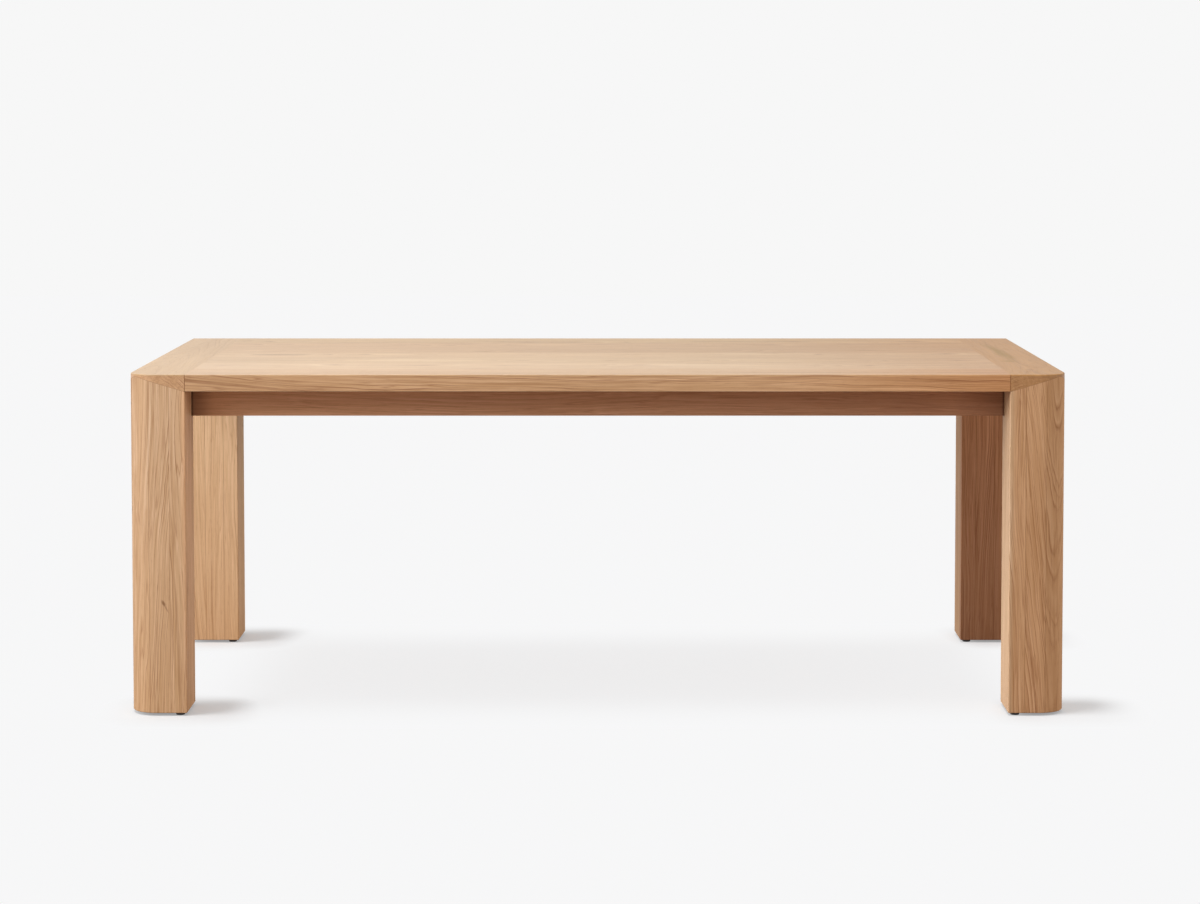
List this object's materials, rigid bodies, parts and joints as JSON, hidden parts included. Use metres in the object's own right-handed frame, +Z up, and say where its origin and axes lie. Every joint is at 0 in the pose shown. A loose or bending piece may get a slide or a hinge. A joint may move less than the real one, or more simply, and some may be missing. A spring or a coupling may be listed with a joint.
{
  "type": "parsons dining table",
  "caption": "Rectangular solid oak dining table: a thick framed top with breadboard ends lies flush on thick square legs, over set-back aprons; its front corners are round.",
  "frame": {"origin": "on the floor, under the middle of the table top", "axes": "+X along the table's length, -Y towards the side seen in front, +Z up"},
  "size_m": [2.083, 1.016, 0.762],
  "materials": {
    "top_oak": "natural oak, matt oiled, plain-sawn boards",
    "leg_oak": "natural oak, matt oiled, glued-up staves with upright grain",
    "frame_oak": "natural oak, matt oiled",
    "dowel_beech": "plain beech dowel rod",
    "bracket_steel": "zinc-plated pressed steel",
    "zinc_steel": "bright zinc-plated steel",
    "glide_plastic": "black nylon"
  },
  "bodies": {
    "root": {"apron_back": "frame_oak", "apron_dowels": "dowel_beech", "apron_front": "frame_oak", "apron_left": "frame_oak", "apron_right": "frame_oak", "bolt_nuts": "zinc_steel", "bolt_washers": "zinc_steel", "bracket_screws": "zinc_steel", "breadboard_end_left": "top_oak", "breadboard_end_right": "top_oak", "breadboard_spline_left": "frame_oak", "breadboard_spline_right": "frame_oak", "clip_screws": "zinc_steel", "corner_brackets": "bracket_steel", "cross_rail_1": "frame_oak", "cross_rail_2": "frame_oak", "cross_rail_screws": "zinc_steel", "glide_nails": "zinc_steel", "glides_back_left": "glide_plastic", "glides_back_right": "glide_plastic", "glides_front_left": "glide_plastic", "glides_front_right": "glide_plastic", "hanger_bolts": "zinc_steel", "leg_back_left_inner_stave": "leg_oak", "leg_back_left_middle_stave": "leg_oak", "leg_back_left_outer_stave": "leg_oak", "leg_back_right_inner_stave": "leg_oak", "leg_back_right_middle_stave": "leg_oak", "leg_back_right_outer_stave": "leg_oak", "leg_dowels": "dowel_beech", "leg_front_left_inner_stave": "leg_oak", "leg_front_left_middle_stave": "leg_oak", "leg_front_left_outer_stave": "leg_oak", "leg_front_right_inner_stave": "leg_oak", "leg_front_right_middle_stave": "leg_oak", "leg_front_right_outer_stave": "leg_oak", "tabletop_clips": "zinc_steel", "top_board_1": "top_oak", "top_board_2": "top_oak", "top_board_3": "top_oak", "top_board_4": "top_oak", "top_board_5": "top_oak", "top_board_6": "top_oak", "top_board_7": "top_oak"}
  },
  "joints": []
}
